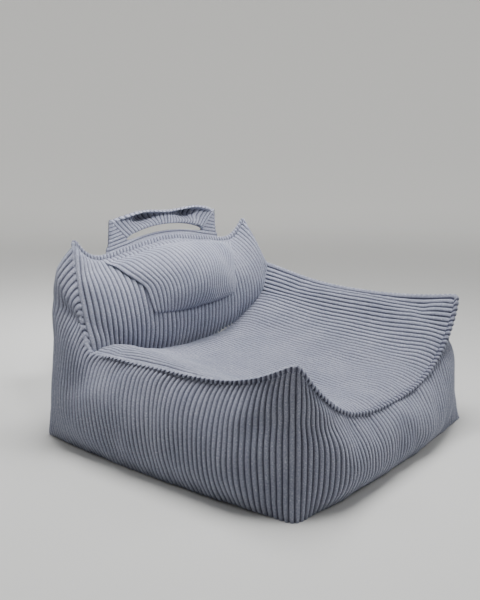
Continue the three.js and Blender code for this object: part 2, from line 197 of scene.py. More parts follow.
def patches(rows, columns, row_cells, column_cells):
    """Smooth random values about 0, one cell being one patch."""
    return refine(random.normal(0, 1, (row_cells + 1, column_cells + 1)), rows, columns)


def blur(values, sigma, axis, closed):
    """Gaussian smoothing along an axis; sigma in grid steps, one for each row of the other axis."""
    v = np.moveaxis(values, axis, -1)
    n = v.shape[-1]
    if not closed:
        v = np.concatenate([2 * v[..., :1] - v[..., :0:-1], v, 2 * v[..., -1:] - v[..., -2::-1]], -1)
    frequency = np.fft.rfftfreq(v.shape[-1])
    keep = np.exp(-2 * (np.pi * np.asarray(sigma)[..., None] * frequency) ** 2)
    v = np.fft.irfft(np.fft.rfft(v) * keep, v.shape[-1])
    if not closed:
        v = v[..., n - 1:2 * n - 1]
    return np.moveaxis(v, -1, axis)


def blur_points(points, sigma, axis, closed=False):
    return np.stack([blur(points[..., k], sigma, axis, closed) for k in range(3)], -1)


def normals(grid, outward):
    """Unit normals of a grid of points; outward is 1 or -1."""
    across = np.gradient(grid, axis=1)
    along = np.gradient(grid, axis=0)
    return unit(np.cross(across, along)) * outward


def to_line(points, line):
    """The distance of each point from a broken line, and how far along it the nearest place is."""
    line = np.array(line, float)
    lengths = np.linalg.norm(np.diff(line, axis=0), axis=1)
    start = walked(line)
    best, where = np.full(points.shape[:-1], 9.0), np.zeros(points.shape[:-1])
    for a, b, length, before in zip(line, line[1:], lengths, start):
        t = np.clip((points - a) @ (b - a) / length ** 2, 0, 1)
        far = np.linalg.norm(points - a - t[..., None] * (b - a), axis=-1)
        nearer = far < best
        best = np.where(nearer, far, best)
        where = np.where(nearer, (before + t * length) / start[-1], where)
    return best, where


# ---- seams ----
ear_seam_l = spline([EAR_L, (-0.322, 0.262, 0.345), NOTCH_L])
ear_seam_r = spline([EAR_R, (0.322, 0.258, 0.390), NOTCH_R])
arm_seam_l = spline([NOTCH_L, (-0.338, 0.020, 0.221), (-0.341, -0.160, 0.224),
                     (-0.345, -0.255, 0.245), TIP_L])
arm_seam_r = spline([NOTCH_R, (0.337, 0.045, 0.294), (0.341, -0.140, 0.286),
                     (0.345, -0.250, 0.291), TIP_R])
top_seam = spline([EAR_L, (-0.282, 0.290, 0.426), (-0.240, 0.290, 0.408), (-0.128, 0.290, 0.420),
                   (0, 0.290, 0.434), (0.128, 0.290, 0.420), (0.240, 0.290, 0.408),
                   (0.282, 0.290, 0.426), EAR_R])
crease = spline([NOTCH_L, (-0.270, 0.222, 0.217), (-0.150, 0.225, 0.180), (0, 0.227, CREASE_LOW),
                 (0.150, 0.225, 0.184), (0.285, 0.220, 0.255), NOTCH_R])


def front_seam(u):
    s = 2 * np.asarray(u, float) - 1
    rise = np.abs(s) ** 3
    tip = np.where(s < 0, TIP_L[2], TIP_R[2])
    return np.stack([s * TIP_SPAN / 2, mix(-0.344, -0.336, rise), mix(FRONT_DIP, tip, rise)], -1)


def patch(a, b, c, d, u, v):
    """A four-sided patch from its edges: a and b along u at v 0 and 1, c and d along v."""
    u3, v3 = u[..., None], v[..., None]
    corners = (a(0.0) * (1 - u3) * (1 - v3) + a(1.0) * u3 * (1 - v3)
               + b(0.0) * (1 - u3) * v3 + b(1.0) * u3 * v3)
    return a(u) * (1 - v3) + b(u) * v3 + c(v) * (1 - u3) + d(v) * u3 - corners


def backrest(u, v):
    p = patch(top_seam, crease, ear_seam_l, ear_seam_r, u, v)
    puff = BACK_PUFF * arch(u) ** 0.5 * arch(v ** 0.85) ** 0.75
    return p + puff[..., None] * np.array([0, -0.93, 0.36])


def seat(u, v):
    p = patch(crease, front_seam, arm_seam_l, arm_seam_r, u, v)
    p[..., 2] += SEAT_PUFF * arch(u) ** 0.6 * arch(v) ** 0.6
    return p


def base(u, v):
    x = (u - 0.5) * (mix(BASE_REAR, BASE_FRONT, v) + 2 * BASE_BOW * arch(v))
    y = mix(REAR_Y, FRONT_Y - BASE_BOW * arch(u), v)
    return np.stack(np.broadcast_arrays(x, y, 0.0), -1)


# ---- the skin's grids ----
def even_columns(grid):
    """Spaces the columns of each row evenly along the cloth, so that every rib is as wide."""
    share = np.linspace(0, 1, grid.shape[1])
    for row in grid:
        places = walked(row)
        row[:] = between(mix(share, np.interp(share * places[-1], places, share), EVENNESS), share, row)
    return grid


def round_edge(grid):
    """The border of a grid as one loop: left side forwards, front, right side back, rear."""
    return np.concatenate([grid[:-1, 0], grid[-1, :-1], grid[:0:-1, -1], grid[0, :0:-1]])


def set_edge(grid, loop):
    """The inverse of round_edge: writes a loop into a grid's border."""
    n = len(grid) - 1
    grid[:-1, 0], grid[-1, :-1], grid[:0:-1, -1], grid[0, :0:-1] = np.split(loop, [n, 2 * n, 3 * n])


TIP_ROUNDING = (0.9, 0.95, 0.6, 0.9)  # ribs, at the left ear, left tip, right tip and right ear
FOOT_ROUNDING = (0.3, 1.0, 0.3, 0.3)  # ribs, at the foot of the same corners
TIP_RINGS = 5  # ribs inwards over which the rounding fades


def round_tips(grid, roundings):
    """Rounds the four corners of a grid, ring by ring inwards."""
    for ring in range(TIP_RINGS * SUB):
        part = grid[ring:SIDE + 1 - ring, ring:SIDE + 1 - ring]
        loop = round_edge(part)
        n = len(part) - 1
        place = np.arange(4 * n)
        ribs = np.minimum(place % n, n - place % n) / SUB
        corner = (place + n // 2) // n % 4
        for number, rounding in enumerate(roundings):
            sigma = rounding * SUB * (1 - ring / (TIP_RINGS * SUB)) ** 1.5
            soft = blur_points(loop, sigma, 0, True)
            keep = np.where(corner == number, smooth((ribs - 4) / 4), 1)
            loop = mix(soft, loop, keep[:, None])
        set_edge(part, loop)
    return grid


def swelling(t):
    return arch(t ** 0.85) ** 0.7


def near_corner(w, rear, front, rear_ribs=9, front_ribs=12):
    """The share of the swelling that is left near a wall's ends, where it is `rear` and `front`."""
    from_rear, from_front = w * WALES, (1 - w) * WALES
    return mix(rear, 1, smooth(from_rear / rear_ribs)) * mix(front, 1, smooth(from_front / front_ribs))


EAR_VALLEY = (2, 0.44), (10.5, 0.25)  # its ends: ribs from the rear, share of the ear's climb
EAR_BULGE, VALLEY_DEPTH = 0.012, 0.003


def side_bulge(t, w, rim_z, notch_z, ear_z):
    """How far a side wall stands out. w runs from the ear forwards. Behind the notch the wall
    swells up to a valley that climbs from the ear's seam to the rear, and again above it."""
    (start, high_share), (end, low_share) = EAR_VALLEY
    along = w * WALES
    climb = ear_z - notch_z
    valley = notch_z + climb * mix(high_share, low_share, np.clip((along - start) / (end - start), 0, 1))
    valley = np.where(along > end, rim_z, np.minimum(valley, rim_z))
    z = t * rim_z
    low = np.clip(z / valley, 0, 1)
    high = np.clip((z - valley) / np.maximum(rim_z - valley, 1e-4), 0, 1)
    return near_corner(w, 0.6, 0.02) * (SIDE_BULGE * swelling(low) + EAR_BULGE * arch(high ** 1.2)
                                        - VALLEY_DEPTH * (high > 0) * (1 - high))


# share of the height, millimetres
REAR_CORNER = [0, 0.2, 0.4, 0.55, 0.7, 0.8, 0.9, 0.96, 1], [0, 1, 4, 11, 27, 32, 27, 13, 0]
CORNER_SIGMA = 2.0  # ribs, how round the upright corners are half way up


def rear_corner(t, ribs):
    """The rear corners stand out most a little below the ears. ribs is the distance from one."""
    return np.interp(t, *REAR_CORNER) / 1000 * np.exp(-(ribs / 8.0) ** 2)


def wall_grid(top, bottom):
    """The four walls as one loop of columns, rows from the foot up to the rim."""
    rim, foot = round_edge(top), round_edge(bottom)
    place = np.arange(LOOP)
    side, w = place // SIDE, (place % SIDE) / SIDE
    t = LEVEL[:, None]
    t = mix(t, 0.5 - 0.5 * np.cos(np.pi * t), 0.35)  # rows lie closer at the foot and the rim
    # the rear's lower rows follow the zip
    zip_low, zip_high = ZIP_ROWS
    rear_x = np.abs(mix(foot[:, 0], rim[:, 0], 0.15))
    zipped = np.where(side == 3, smooth((0.30 - rear_x) / 0.06), 0.0)
    rows = np.arange(LEVELS + 1)[:, None]
    zip_t = np.interp(rows, [0, zip_low, zip_high], [0, ZIP_LOW, ZIP_HIGH]) / rim[:, 2]
    over_zip = mix(ZIP_HIGH / rim[:, 2], 1, (rows - zip_high) / (LEVELS - zip_high))
    zip_t = np.where(rows > zip_high, over_zip, zip_t)
    t = mix(t, zip_t, zipped)
    grid = mix(foot, rim, t[..., None])
    forward = np.where(side == 0, w, 1 - w)  # from the ear to the tip, on either side wall
    left = side_bulge(t, forward, rim[:, 2], NOTCH_L[2], EAR_L[2])
    right = side_bulge(t, forward, rim[:, 2], NOTCH_R[2], EAR_R[2])
    front = SIDE_BULGE * swelling(t) * near_corner(w, 0.02, 0.02, front_ribs=24)
    grid[..., 0] += np.where(side == 0, -left, 0) + np.where(side == 2, right, 0)
    grid[..., 1] -= np.where(side == 1, front, 0)
    above = np.clip((t - ZIP_HIGH / rim[:, 2]) / (1 - ZIP_HIGH / rim[:, 2]), 0, 1)
    grid[..., 1] += np.where(side == 3, REAR_BULGE * arch(above) ** 0.7 * near_corner(w, 0.6, 0.6), 0)
    flat_y = mix(grid[..., 1], REAR_Y, smooth((ZIP_FLAT - grid[..., 2]) / 0.01))
    grid[..., 1] = np.where(side == 3, flat_y, grid[..., 1])
    # round the upright corners, but neither the foot nor the rim
    rounding = arch(LEVEL) ** 0.5
    soft = blur_points(grid, CORNER_SIGMA * SUB * rounding, 1, True)
    soft[0], soft[-1] = grid[0], grid[-1]
    # the two rear corners lean out, each along the side wall and the rear
    for corner, sign in ((0, -1), (3 * SIDE, 1)):
        gap = (place - corner + LOOP // 2) % LOOP - LOOP // 2
        out = rear_corner(t, np.abs(gap) / SUB)
        turn = np.clip(gap * -sign / SUB / 6, -1, 1) * np.pi / 4
        soft[..., 0] += sign * out * np.cos(np.pi / 4 - turn)
        soft[..., 1] += out * np.sin(np.pi / 4 - turn)
    for number in range(3):  # left, front and right
        span = np.arange(number * SIDE, (number + 1) * SIDE + 1)
        part = soft[:, span]
        part = mix(part, even_columns(part.copy()), rounding[:, None, None])
        soft[:, span[:-1]] = part[:, :-1]
    return soft


# valleys of the filled cloth: points, depth, half width
FOLDS = [
    ([(-0.37, -0.225, 0.130), (-0.375, -0.285, 0.168), (-0.36, -0.345, 0.190), (-0.30, -0.375, 0.166),
      (-0.22, -0.385, 0.150), (-0.13, -0.385, 0.128)], 0.007, 0.028),
    ([(0.37, -0.24, 0.20), (0.36, -0.33, 0.222), (0.31, -0.375, 0.20), (0.23, -0.385, 0.165)],
     0.017, 0.024),
    ([(0.38, -0.37, 0.040), (0.385, -0.375, 0.13), (0.375, -0.36, 0.25)], 0.008, 0.055),
    ([(-0.333, 0.236, 0.283), (-0.345, 0.262, 0.303), (-0.356, 0.300, 0.325)], 0.005, 0.017),
    ([(0.333, 0.236, 0.372), (0.345, 0.262, 0.388), (0.350, 0.310, 0.400)], 0.005, 0.017),
    ([(-0.372, 0.10, 0.205), (-0.382, 0.17, 0.180), (-0.380, 0.225, 0.150)], 0.004, 0.018),
]


def fold(grid):
    """Presses the valleys into the walls."""
    push = np.zeros(grid.shape[:2])
    for line, depth, half in FOLDS:
        far, where = to_line(grid, line)
        ends = smooth(where / 0.2) * smooth((1 - where) / 0.2)
        push -= depth * np.exp(-(far / half) ** 2) * mix(0.25, 1, ends)
    return grid + push[..., None] * normals(grid, 1)


# ---- filling: cloth simulation on the coarse skin ----
def closed_skin(top, bottom, wall):
    """One closed mesh of coarse grids: points, quads, and where the grids' points are in it."""
    n, rows, loop = len(top), len(wall) - 1, wall.shape[1]
    index_top = np.arange(n * n).reshape(n, n)
    index_bottom = n * n + np.arange(n * n).reshape(n, n)
    inner = 2 * n * n + np.arange((rows - 1) * loop).reshape(rows - 1, loop)
    index_wall = np.vstack([round_edge(index_bottom), inner, round_edge(index_top)])
    points = np.concatenate([top.reshape(-1, 3), bottom.reshape(-1, 3), wall[1:-1].reshape(-1, 3)])
    quads = []
    for index, flip in ((index_top, False), (index_bottom, True)):
        q = np.stack([index[:-1, :-1], index[1:, :-1], index[1:, 1:], index[:-1, 1:]], -1)
        quads.append((q[..., ::-1] if flip else q).reshape(-1, 4))
    closed = np.hstack([index_wall, index_wall[:, :1]])
    q = np.stack([closed[:-1, :-1], closed[:-1, 1:], closed[1:, 1:], closed[1:, :-1]], -1)
    quads.append(q.reshape(-1, 4))
    return points, np.concatenate(quads), index_top, index_wall


def make_mesh(name, points, faces, uv=None, shift=True):
    mesh = bpy.data.meshes.new(name)
    points = np.asarray(points, float).reshape(-1, 3) + (SHIFT if shift else 0)
    mesh.from_pydata(points.tolist(), [], np.asarray(faces).tolist())
    if uv is not None:
        layer = mesh.uv_layers.new(name="wales")
        uv = np.asarray(uv, np.float32).reshape(-1, 2)
        if len(uv) != len(mesh.loops):  # one for each point, not for each face's corner
            corner = np.zeros(len(mesh.loops), np.int32)
            mesh.loops.foreach_get("vertex_index", corner)
            uv = uv[corner]
        layer.data.foreach_set("uv", uv.ravel())
    mesh.polygons.foreach_set("use_smooth", np.ones(len(mesh.polygons), bool))
    mesh.update()
    return add_thing(name, mesh)


SIM_FRAMES = 22
SIM_CAP = 0.012  # the furthest that the filling moves the cloth
SIM_CALM = 1.1  # ribs over which the simulated creases are calmed
CORNER_MOVE = 0.15  # the share of the movement that is left at an upright corner,
CORNER_RIBS = 11  # and the ribs over which it comes back
SIM_CLOTH = {"quality": 5, "mass": 0.15, "tension_stiffness": 12, "compression_stiffness": 12,
             "shear_stiffness": 4, "bending_stiffness": 0.4, "use_pressure": True,
             "uniform_pressure_force": 4, "shrink_min": -0.035, "vertex_group_mass": "held"}


def fill_bag(top, bottom, wall):
    """Fills the bag under pressure, its seams held. Returns how far the top and the walls move."""
    points, quads, index_top, index_wall = closed_skin(
        top[::SUB, ::SUB], bottom[::SUB, ::SUB], wall[::WALL_STEP, ::SUB])
    bag = make_mesh("filling_skin", points, quads, shift=False)
    held = np.zeros(len(points), bool)
    n = WALES + 1
    held[n * n:2 * n * n] = True  # the bottom rests on the floor
    held[index_wall[-1]] = True
    held[index_top[EAR_WALES]] = True
    held[index_wall[:ZIP_ROWS[1] // WALL_STEP + 2, 3 * WALES:]] = True  # the strip with the zip
    group = bag.vertex_groups.new(name="held")
    group.add(np.flatnonzero(held).tolist(), 1.0, "REPLACE")
    cloth = bag.modifiers.new("cloth", "CLOTH")
    for key, value in SIM_CLOTH.items():
        setattr(cloth.settings, key, value)
    cloth.settings.effector_weights.gravity = 0
    cloth.collision_settings.use_collision = False
    cloth.point_cache.frame_start, cloth.point_cache.frame_end = 1, SIM_FRAMES
    for number in range(1, SIM_FRAMES + 1):
        scene.frame_set(number)
    evaluated = bag.evaluated_get(bpy.context.evaluated_depsgraph_get())
    after = np.zeros(len(points) * 3)
    evaluated.data.vertices.foreach_get("co", after)
    scene.frame_set(1)
    bpy.data.objects.remove(bag)
    move = after.reshape(-1, 3) - points
    size = np.linalg.norm(move, axis=1, keepdims=True)
    move *= SIM_CAP * np.tanh(size / SIM_CAP) / np.maximum(size, 1e-9)

    def calm(grid, closed):
        soft = blur_points(blur_points(grid, SIM_CALM, 1, closed), SIM_CALM * 0.7, 0)
        soft[0], soft[-1] = grid[0], grid[-1]
        return soft
    top_move = calm(move[index_top], False)
    top_move[:, 0], top_move[:, -1] = 0, 0
    wall_move = calm(move[index_wall], True)
    to_corner = np.arange(4 * WALES) % WALES
    to_corner = np.minimum(to_corner, WALES - to_corner)
    wall_move *= mix(CORNER_MOVE, 1, smooth(to_corner / CORNER_RIBS))[:, None]
    wall_move = np.hstack([wall_move, wall_move[:, :1]])
    return refine(top_move, SIDE + 1, SIDE + 1), refine(wall_move, LEVELS + 1, LOOP + 1)[:, :-1]


# ---- corduroy relief ----
WALE_SHAPE = [0, 0.125, 0.25, 0.5, 0.75, 0.875, 1], [0, 0.56, 0.87, 1, 0.87, 0.56, 0]  # a rib's section
WALE_PROFILE = np.interp(np.arange(SUB) / SUB, *WALE_SHAPE)


def wale_relief(shape):
    """The height of the ribs over a grid whose columns are SUB to a rib, uneven as worn pile is."""
    rows, columns = shape
    profile = WALE_PROFILE[np.arange(columns) % SUB]
    uneven = 1 + 0.10 * patches(rows, columns, max(rows // 6, 2), max(columns // SUB, 2))
    return WALE_HEIGHT * profile * uneven


def kept_columns(first, last):
    """Grid columns from first to last that the mesh keeps."""
    return [c for c in range(first, last) if (c % SUB) in KEPT_STEPS] + [last]


def grid_faces(rows, columns, flip=False):
    index = np.arange(rows * columns).reshape(rows, columns)
    q = np.stack([index[:-1, :-1], index[:-1, 1:], index[1:, 1:], index[1:, :-1]], -1).reshape(-1, 4)
    return q[:, ::-1] if flip else q


def panel(name, grid, columns, rows, flip=False, keep=None):
    """A sheet of the skin as a mesh. Its UV is (number of the rib, metres along it)."""
    part = grid[np.ix_(rows, columns)]
    steps = np.linalg.norm(np.diff(part, axis=0), axis=-1).mean(1)
    along = np.concatenate([[0], np.cumsum(steps)])
    uv = np.stack(np.meshgrid(np.asarray(columns) / SUB, along), -1)
    faces = grid_faces(len(rows), len(columns), flip)
    if keep is not None:
        centre = part.reshape(-1, 3)[faces].mean(1)
        faces = faces[keep(centre)]
    return make_mesh(name, part, faces, uv)


# ---- materials ----
def srgb(*rgb):
    return tuple(((c / 255 + 0.055) / 1.055) ** 2.4 if c > 10 else c / 255 / 12.92 for c in rgb) + (1.0,)


def grey(value):
    return (value, value, value, 1)


BLACK, WHITE = grey(0), grey(1)


class Nodes:
    """A node material. put() links a socket or sets a number; set() does it on the shader."""

    def __init__(self, name):
        self.material = bpy.data.materials.new(name)
        self.material.use_nodes = True
        self.tree = self.material.node_tree
        self.shader = self.tree.nodes["Principled BSDF"]
        self.place = self.add("TexCoord").outputs["Object"]

    def add(self, kind, inputs=None, **settings):
        node = self.tree.nodes.new("ShaderNode" + kind)
        for key, value in settings.items():
            setattr(node, key, value)
        for key, value in (inputs or {}).items():
            self.put(value, node.inputs[key])
        return node

    def put(self, value, socket):
        if isinstance(value, bpy.types.NodeSocket):
            self.tree.links.new(value, socket)
        else:
            socket.default_value = value

    def set(self, **inputs):
        for key, value in inputs.items():
            self.put(value, self.shader.inputs[key.replace("_", " ")])

    def maths(self, operation, a, b=0.0, c=0.0, clamp=False):
        node = self.add("Math", operation=operation, use_clamp=clamp)
        for socket, value in zip(node.inputs, (a, b, c)):
            self.put(value, socket)
        return node.outputs[0]

    def noise(self, scale, detail=2.0, roughness=0.5, vector=None):
        node = self.add("TexNoise", {"Scale": scale, "Detail": detail, "Roughness": roughness})
        self.put(vector or self.place, node.inputs["Vector"])
        return node.outputs["Fac"]

    def ramp(self, value, *stops):
        node = self.add("ValToRGB")
        elements = node.color_ramp.elements
        while len(elements) < len(stops):
            elements.new(0.5)
        for element, (where, colour) in zip(elements, stops):
            element.position = where
            element.color = colour
        self.put(value, node.inputs["Fac"])
        return node.outputs["Color"]

    def blend(self, kind, factor, a, b):
        node = self.add("Mix", data_type="RGBA", blend_type=kind)
        self.put(factor, node.inputs["Factor"])
        colours = [s for s in node.inputs if s.type == "RGBA"]
        self.put(a, colours[0])
        self.put(b, colours[1])
        return [s for s in node.outputs if s.type == "RGBA"][0]

    def bump(self, height, distance, strength=1.0):
        node = self.add("Bump", {"Height": height, "Distance": distance, "Strength": strength})
        return node.outputs["Normal"]


TUFTS_ACROSS, TUFTS_ALONG = 12.35, 420.0  # noise cells in a rib's width, and in a metre of rib


def corduroy(name, groove, low, high, fleck):
    """Wide-wale corduroy: dark ground between the ribs, darkened further as painted shade in the
    grooves; brushed pile with pale flecks on the ribs.
    """
    m = Nodes(name)
    uv = m.add("UVMap", uv_map="wales").outputs["UV"]
    parts = m.add("SeparateXYZ", {"Vector": uv})
    across, along = parts.outputs["X"], parts.outputs["Y"]
    phase = m.maths("PINGPONG", across, 0.5)  # 0 in a groove, 0.5 on a rib
    # pile is 1 on a rib and falls to 0 in a groove, where the dark groove colour is painted shade
    pile = m.ramp(phase, (0.03, BLACK), (0.13, grey(0.58)), (0.32, WHITE))
    tufts = m.add("CombineXYZ", {"X": m.maths("MULTIPLY", across, TUFTS_ACROSS),
                                 "Y": m.maths("MULTIPLY", along, TUFTS_ALONG)})
    brushed = m.noise(0.55, 3.0, 0.6, tufts.outputs["Vector"])
    fine = m.noise(760.0, 2.0, 0.7)
    worn = m.noise(14.0, 3.0, 0.55)
    body = m.ramp(m.maths("ADD", m.maths("MULTIPLY", brushed, 0.62), m.maths("MULTIPLY", fine, 0.38)),
                  (0.36, low), (0.62, high))
    speck = m.ramp(m.noise(380.0, 2.0, 0.65), (0.55, BLACK), (0.69, WHITE))
    body = m.blend("MIX", m.maths("MULTIPLY", speck, 0.55), body, fleck)
    tone = m.ramp(worn, (0.3, (0.86, 0.87, 0.89, 1)), (0.7, (1.08, 1.07, 1.06, 1)))
    body = m.blend("MULTIPLY", 1.0, body, tone)
    colour = m.blend("MIX", pile, groove, body)
    height = m.maths("ADD", m.maths("MULTIPLY", brushed, 0.6), m.maths("MULTIPLY", fine, 0.4))
    m.set(Base_Color=colour, Roughness=0.95, Normal=m.bump(height, 0.0012, 0.8),
          Sheen_Weight=0.45, Sheen_Roughness=0.5, Sheen_Tint=srgb(190, 198, 214), Specular_IOR_Level=0.2)
    return m.material


def plain_cloth(name, dark, light, thread):
    """A plain weave of the given thread pitch."""
    m = Nodes(name)
    weave = m.add("TexBrick", {
        "Vector": m.place, "Scale": 1.0, "Color1": light, "Color2": dark, "Mortar": dark,
        "Mortar Size": thread * 0.12, "Brick Width": thread * 2, "Row Height": thread})
    fuzz = m.noise(900.0, 2.0, 0.6)
    shade = m.ramp(fuzz, (0.3, grey(0.7)), (0.7, WHITE))
    colour = m.blend("MULTIPLY", 0.5, weave.outputs["Color"], shade)
    m.set(Base_Color=colour, Roughness=0.9, Normal=m.bump(fuzz, 0.0004, 0.6), Sheen_Weight=0.15)
    return m.material


def beads():
    """Expanded polystyrene beads about 4 mm across."""
    m = Nodes("beads")
    depth = m.add("TexVoronoi", {"Vector": m.place, "Scale": 250.0}, feature="F1").outputs["Distance"]
    # painted shade: each bead is palest at its middle and darker towards the gaps between beads
    shade = m.ramp(depth, (0.2, srgb(244, 244, 240)), (0.75, srgb(196, 196, 192)))
    m.set(Base_Color=shade, Roughness=0.6, Normal=m.bump(m.maths("MULTIPLY", depth, -1.0), 0.002))
    return m.material


def zip_metal():
    """Plated zinc with fine scratches."""
    m = Nodes("zip_metal")
    scratched = m.noise(320.0, 5.0, 0.65)
    m.set(Base_Color=m.ramp(scratched, (0.3, srgb(140, 142, 146)), (0.7, srgb(178, 180, 184))),
          Metallic=1.0, Roughness=m.maths("MULTIPLY_ADD", scratched, 0.35, 0.22),
          Normal=m.bump(scratched, 0.0001, 0.4))
    return m.material


def zip_nylon():
    """Satin nylon of the zip's coils."""
    m = Nodes("zip_nylon")
    uneven = m.noise(600.0, 3.0, 0.5)
    m.set(Base_Color=m.ramp(uneven, (0.3, srgb(52, 56, 66)), (0.7, srgb(70, 75, 87))),
          Roughness=0.42, Normal=m.bump(uneven, 0.0002, 0.4))
    return m.material


# the groove colour is the ground weave darkened with painted shade of the grooves
CLOTH = corduroy("corduroy", groove=srgb(64, 65, 82), low=srgb(122, 125, 141), high=srgb(160, 163, 179),
                 fleck=srgb(203, 206, 218))
LINER = plain_cloth("liner", srgb(205, 205, 198), srgb(228, 228, 222), 0.0011)
ZIP_TAPE = plain_cloth("zip_tape", srgb(58, 62, 73), srgb(84, 89, 102), 0.0007)
BEADS, METAL, NYLON = beads(), zip_metal(), zip_nylon()


def finish_piece(piece, *stands_for, body="chair", slot="corduroy", material=CLOTH, bends=None):
    """Gives a piece its look and hides the parts it stands for. A piece that doesn't bend is given its
    body; one that bends only has its transform baked into its mesh."""
    piece.data.materials.append(material)
    if bends:
        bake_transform(piece)
    else:
        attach(piece, body)
    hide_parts(*stands_for)


# ---- the bag ----
top = np.concatenate([backrest(*shares(SIDE, EAR)), seat(*shares(SIDE, SIDE - EAR))[1:]])
top = round_tips(even_columns(top), TIP_ROUNDING)
bottom = round_tips(base(*shares(SIDE, SIDE)), FOOT_ROUNDING)
wall = fold(wall_grid(top, bottom))
wall[0], wall[-1] = round_edge(bottom), round_edge(top)
top_move, wall_move = fill_bag(top, bottom, wall)
top, wall = top + top_move, wall + wall_move


def puckers(from_edge, number, height, reach):
    """Short gathers of the walls beside an edge, fading over a given reach."""
    far = np.linalg.norm(from_edge, axis=-1)
    return patches(2, LOOP, 1, number)[0] * height * np.exp(-far / reach) * smooth(far / (reach / 3))


pucker = puckers(wall - wall[-1], 56, 0.0011, 0.030) + puckers(wall - wall[0], 44, 0.0013, 0.024)
pucker += patches(LEVELS + 1, LOOP, 5, 30) * 0.0009 * arch(LEVEL)[:, None]
wall_normal = normals(np.concatenate([wall[:, -1:], wall, wall[:, :1]], 1), 1)[:, 1:-1]
smooth_wall = wall + pucker[..., None] * wall_normal
relief = wale_relief(wall.shape[:2])
# the ribs are pressed flatter round the zip
by_zip = smooth((0.27 - np.abs(wall[..., 0])) / 0.02) * smooth((0.095 - wall[..., 2]) / 0.02)
relief *= 1 - 0.5 * by_zip * (np.arange(LOOP) >= 3 * SIDE)
ribbed_wall = smooth_wall + relief[..., None] * wall_normal
ribbed_wall[..., 2] = np.maximum(ribbed_wall[..., 2], FLOOR_GAP)
ribbed_wall = np.concatenate([ribbed_wall, ribbed_wall[:, :1]], 1)


def outside_the_zip(centre):
    return (np.abs(centre[:, 0]) > ZIP_HALF) | (centre[:, 2] > ZIP_HIGH)


every_row = range(LEVELS + 1)
low_rows, high_rows = every_row[:ZIP_ROWS[0] + 1], every_row[ZIP_ROWS[0]:]
rear_columns = kept_columns(3 * SIDE, LOOP)
finish_piece(panel("wall_cover", ribbed_wall, kept_columns(0, 3 * SIDE), every_row), "wall_panel")
finish_piece(panel("rear_lower_cover", ribbed_wall, rear_columns, low_rows), "rear_lower_panel")
finish_piece(panel("rear_upper_cover", ribbed_wall, rear_columns, high_rows, keep=outside_the_zip),
             "rear_upper_panel")

top_normal = normals(top, -1)
middle = arch(np.arange(SIDE + 1) / SIDE)
ripple = patches(SIDE + 1, SIDE + 1, 9, 14) * 0.0016 * (middle[:, None] * middle[None, :]) ** 0.3
ribbed_top = top + (wale_relief(top.shape[:2]) + ripple)[..., None] * top_normal
tuck = top[EAR] - CREASE_TUCK * top_normal[EAR]


def to_backrest(grid):
    """A grid at the backrest's columns: it is narrower than the seat, so it has fewer ribs."""
    at = np.linspace(0, grid.shape[1] - 1, BACK + 1)
    first = np.minimum(at.astype(int), grid.shape[1] - 2)
    share = (at - first)[(None, slice(None)) + (None,) * (grid.ndim - 2)]
    return mix(grid[:, first], grid[:, first + 1], share)


lift = wale_relief((EAR + 1, BACK + 1)) + to_backrest(ripple[:EAR + 1])
ribbed_back = to_backrest(top[:EAR + 1]) + lift[..., None] * to_backrest(top_normal[:EAR + 1])
ribbed_back = np.concatenate([ribbed_back, to_backrest(tuck[None])])
ribbed_seat = np.concatenate([tuck[None], ribbed_top[EAR:]])
columns = kept_columns(0, SIDE)
back_rows = [*range(0, EAR, 3), EAR, EAR + 1]
seat_rows = [0, *range(1, SIDE - EAR + 1, 5), SIDE - EAR + 1]
finish_piece(panel("backrest_cover", ribbed_back, kept_columns(0, BACK), back_rows, flip=True),
             "backrest_panel")
finish_piece(panel("seat_cover", ribbed_seat, columns, seat_rows, flip=True), "seat_panel")

ribbed_base = bottom.copy()
ribbed_base[..., 2] += 0.0006 + 0.0012 * (1 - WALE_PROFILE[np.arange(SIDE + 1) % SUB])
finish_piece(panel("bottom_cover", ribbed_base, columns, range(0, SIDE + 1, 16)), "bottom_panel")


# ---- the rim's turned-out seam allowance ----
# its section in millimetres: out from the rim, and up
FLANGE_SECTION = [(2.4, -1.5), (1.9, 1.0), (2.7, 3.0), (3.2, 6.0), (3.4, 9.5), (3.0, 12.2),
                  (1.4, 13.4), (-1.2, 13.4), (-2.7, 12.0), (-3.3, 9.0), (-3.4, 6.0), (-2.9, 3.0),
                  (-1.9, 1.0), (-2.4, -1.5)]
FLANGE_RIB = (0.00, 0.00, 0.05, 0.22, 0.42, 0.50, 0.50)  # across the rib that its inner face shows, from its root up; at the root this is the groove's dark colour, painted shade along the seam
FLANGE_SHADE = ([0, 2.6, 6.0, 11.0, 13.4], [0, 0.08, 0.30, 0.42, 0.46])  # height, share of pile left; the rest is the groove's dark colour, painted shade on the outer face, darkest at its root
FLANGE_RISE = np.array([1.15, 0.45, 0.6, 0.9])  # steepness: left arm, front, right arm, rear
TIP_RISE, EAR_RISE = 0.9, 0.6
BEAD, INNER_BEAD = 4.6, 2.0  # millimetres, how far a rib's bead stands out


